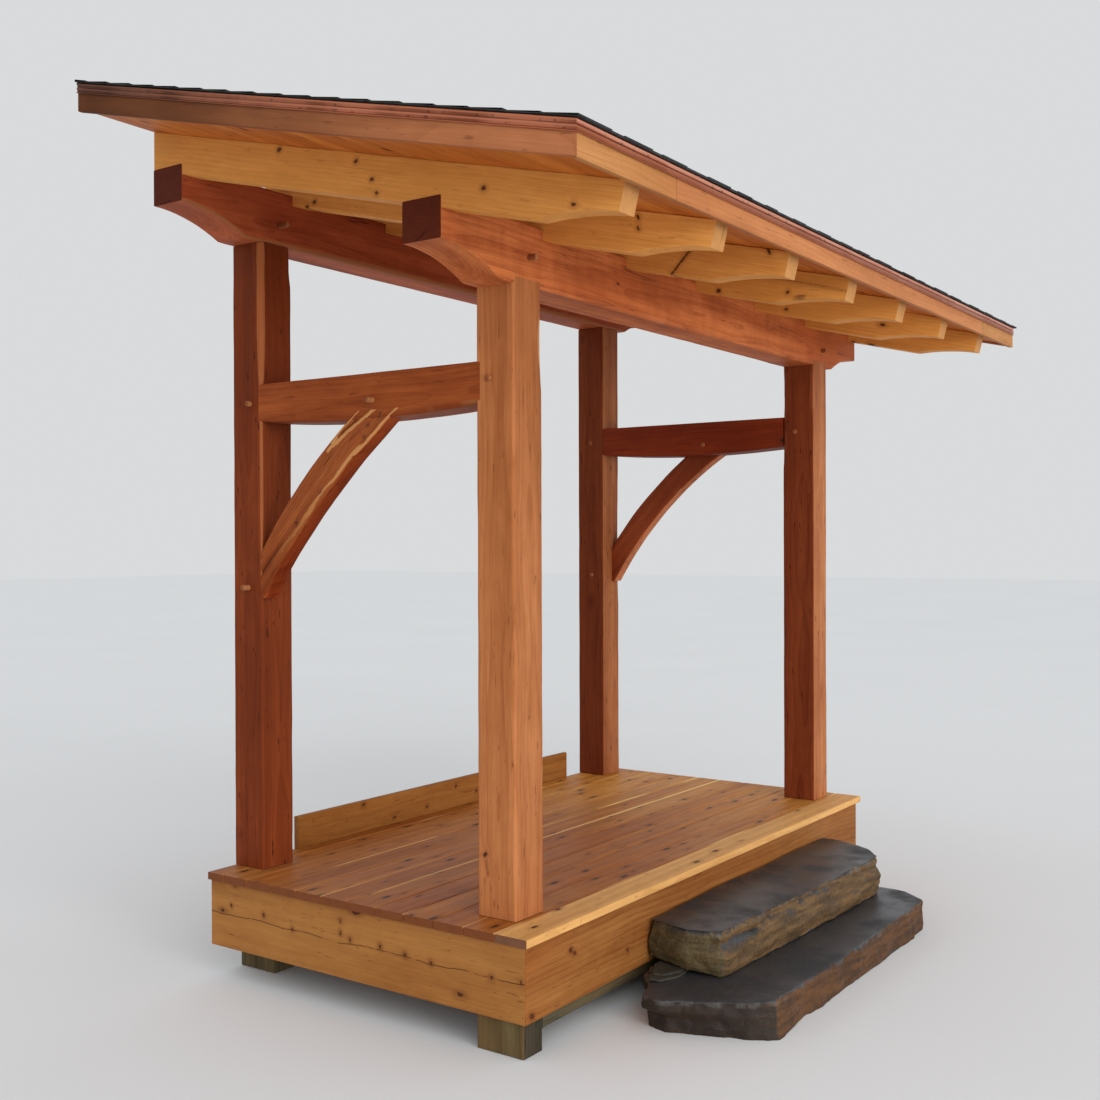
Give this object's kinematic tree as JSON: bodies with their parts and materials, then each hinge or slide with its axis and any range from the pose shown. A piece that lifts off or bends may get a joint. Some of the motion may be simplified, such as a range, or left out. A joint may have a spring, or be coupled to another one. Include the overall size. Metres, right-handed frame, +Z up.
{
  "type": "porch canopy",
  "caption": "Timber-frame porch canopy: shingled lean-to roof on square posts with arched braces, over a skirted board deck with rough stone steps.",
  "frame": {"origin": "on the ground, midway between the posts along the wall and midway between the wall plane and the shingles' eave edge", "axes": "+X along the wall to the right as seen from the front, +Y towards the wall, +Z up"},
  "size_m": [4.522, 2.376, 3.7021],
  "materials": {
    "stained_timber": "stained, satin",
    "golden_timber": "oiled, satin",
    "decking": "oiled, satin",
    "treated_timber": "rough sawn, matt",
    "sheathing": "rough sawn, matt",
    "copper": "bright, folded sheet",
    "shingles": "granular, matt",
    "rough_stone": "split, damp"
  },
  "bodies": {
    "root": {"post_front_left": "stained_timber", "post_front_right": "stained_timber", "post_rear_left": "stained_timber", "post_rear_right": "stained_timber", "plate_front": "stained_timber", "plate_rear": "stained_timber", "girt_left": "stained_timber", "girt_right": "stained_timber", "brace_left": "stained_timber", "brace_right": "stained_timber", "rafter_1": "golden_timber", "rafter_2": "golden_timber", "rafter_3": "golden_timber", "rafter_4": "golden_timber", "rafter_5": "golden_timber", "rafter_6": "golden_timber", "rafter_7": "golden_timber", "roof_boards": "golden_timber", "roof_sheathing": "sheathing", "roof_shingles": "shingles", "rake_board_left": "golden_timber", "rake_board_right": "golden_timber", "eave_fascia": "golden_timber", "drip_edge_left": "copper", "drip_edge_right": "copper", "drip_edge_eave": "copper", "deck_boards": "decking", "deck_border_board": "golden_timber", "skirt_front": "golden_timber", "skirt_left": "golden_timber", "skirt_right": "golden_timber", "deck_joists": "treated_timber", "rim_front": "treated_timber", "rim_rear": "treated_timber", "beam_front": "treated_timber", "beam_rear": "treated_timber", "footing_front_left": "treated_timber", "footing_front_right": "treated_timber", "footing_rear_left": "treated_timber", "footing_rear_right": "treated_timber", "door_riser": "golden_timber", "step_upper": "rough_stone", "step_lower": "rough_stone", "step_shims": "rough_stone"}
  },
  "joints": []
}
